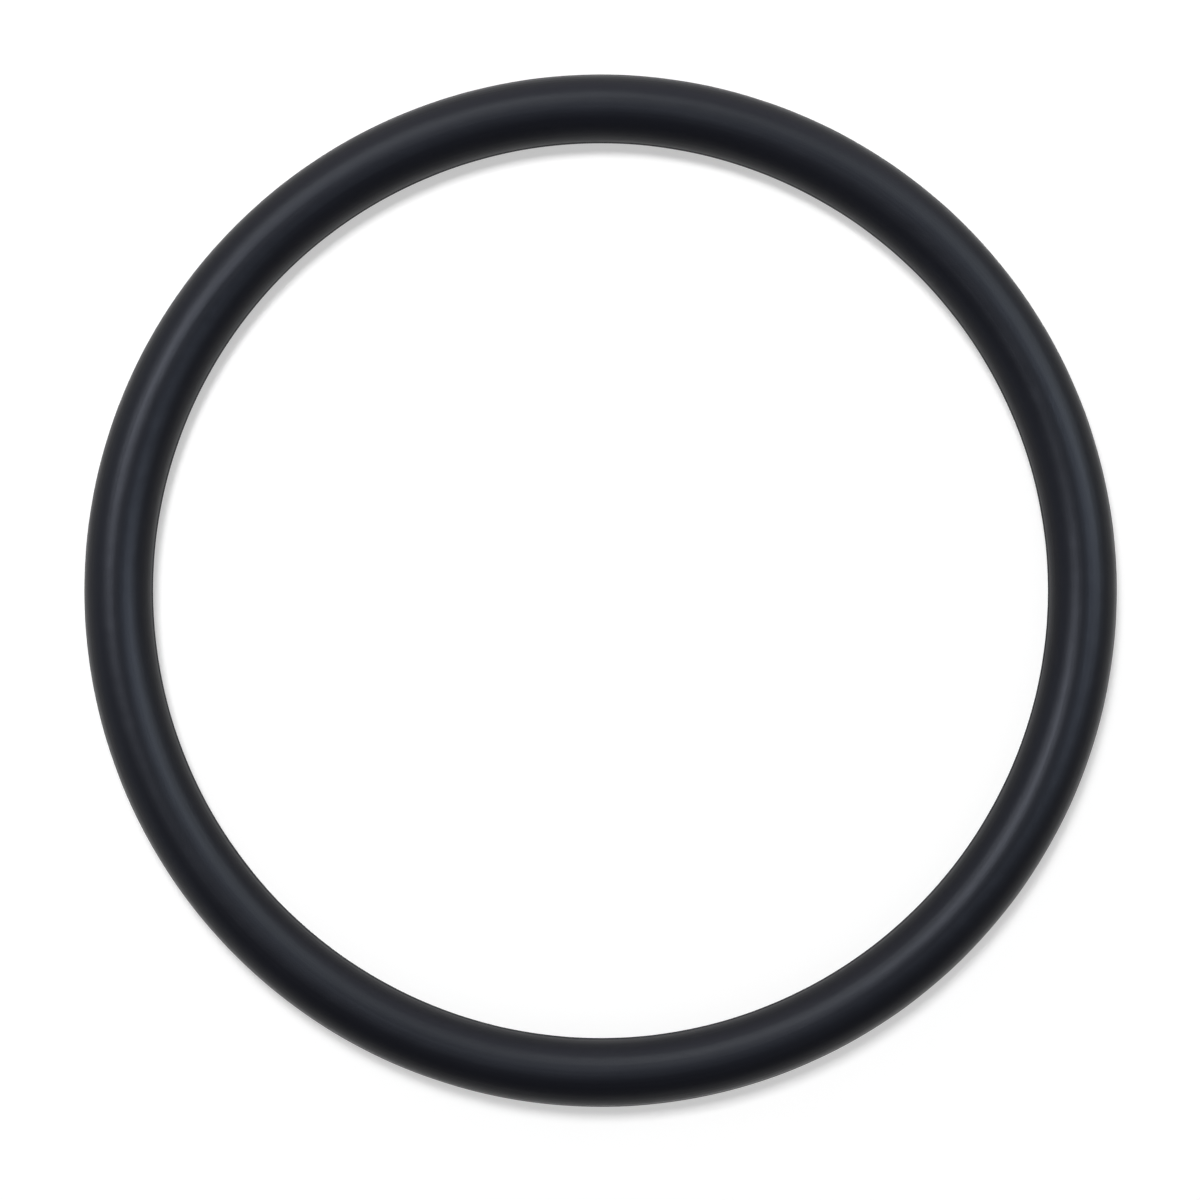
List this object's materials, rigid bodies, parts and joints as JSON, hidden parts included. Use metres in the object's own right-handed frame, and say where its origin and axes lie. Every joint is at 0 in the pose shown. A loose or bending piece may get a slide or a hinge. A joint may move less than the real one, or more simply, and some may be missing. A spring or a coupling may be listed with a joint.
{
  "type": "rubber o-ring",
  "caption": "Plain black rubber O-ring of round section, moulded in one piece, that seals a shaft, pipe joint or cover when squeezed in a groove.",
  "frame": {"origin": "centre of the ring, on its axis and on the plane of the mould's parting line", "axes": "+Z along the ring's axis; X and Y lie in the plane of the ring, which is alike all the way round; the ring lies flat with its lowest points 1.765 mm below the origin"},
  "size_m": [0.0544, 0.0544, 0.0036],
  "materials": {
    "rubber": "satin-matt black nitrile rubber, as moulded"
  },
  "bodies": {
    "root": {"o_ring": "rubber"}
  },
  "joints": []
}
